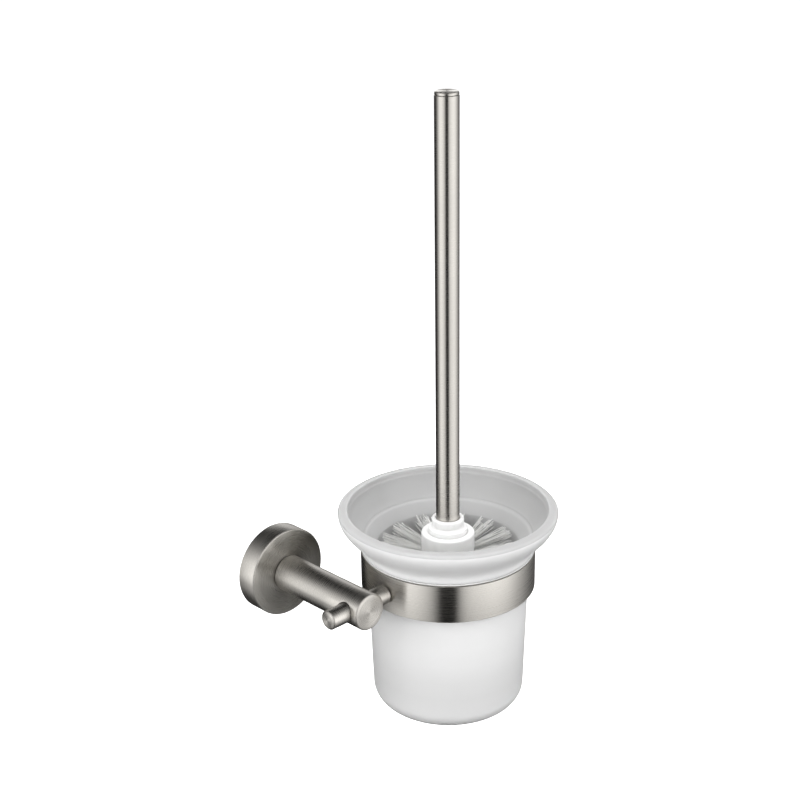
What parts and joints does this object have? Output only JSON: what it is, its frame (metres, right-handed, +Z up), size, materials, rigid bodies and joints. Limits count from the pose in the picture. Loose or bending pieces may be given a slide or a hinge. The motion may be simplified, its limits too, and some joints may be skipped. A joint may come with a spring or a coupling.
{
  "type": "toilet brush holder",
  "caption": "Wall-mounted toilet brush holder: round rose and arm, cross rod, band ring, flared frosted glass cup, and a lift-out brush with a slim metal handle.",
  "frame": {"origin": "centre of the rose's back, on the wall's face", "axes": "+Z up along the brush handle, +Y into the wall, +X from the arm towards the ring, so the arm runs out along -Y"},
  "size_m": [0.1437, 0.1325, 0.3216],
  "materials": {
    "satin_steel": "satin brushed, warm nickel tone",
    "screw_steel": "plain stainless fasteners",
    "plate_steel": "zinc-plated",
    "liner_plastic": "clear, slightly milky",
    "frosted_glass": "acid-etched, white translucent",
    "white_plastic": "satin white moulding",
    "nylon_bristle": "white nylon filament"
  },
  "bodies": {
    "bracket": {"wall_plate": "plate_steel", "wall_screw_upper": "screw_steel", "wall_screw_lower": "screw_steel", "rose": "satin_steel", "rose_grub_screw": "screw_steel", "arm": "satin_steel", "arm_washer": "screw_steel", "arm_screw": "screw_steel", "rod_grub_screw": "screw_steel", "cross_rod": "satin_steel", "ring_band": "satin_steel", "ring_liner": "liner_plastic", "band_screw": "screw_steel"},
    "cup": {"glass_cup": "frosted_glass"},
    "brush": {"handle_tube": "satin_steel", "handle_cap": "satin_steel", "handle_spigot": "screw_steel", "brush_ferrule": "white_plastic", "brush_core": "white_plastic", "bristle_row_1": "nylon_bristle", "bristle_row_2": "nylon_bristle", "bristle_row_3": "nylon_bristle", "bristle_row_4": "nylon_bristle", "bristle_row_5": "nylon_bristle", "bristle_row_6": "nylon_bristle", "bristle_tip": "nylon_bristle"}
  },
  "joints": [
    {"name": "cup_lift", "type": "slide", "parent": "bracket", "child": "cup", "axis": [0, 0, 1], "range_m": [0, 0.1]},
    {"name": "brush_lift", "type": "slide", "parent": "cup", "child": "brush", "axis": [0, 0, 1], "range_m": [0, 0.115]}
  ]
}
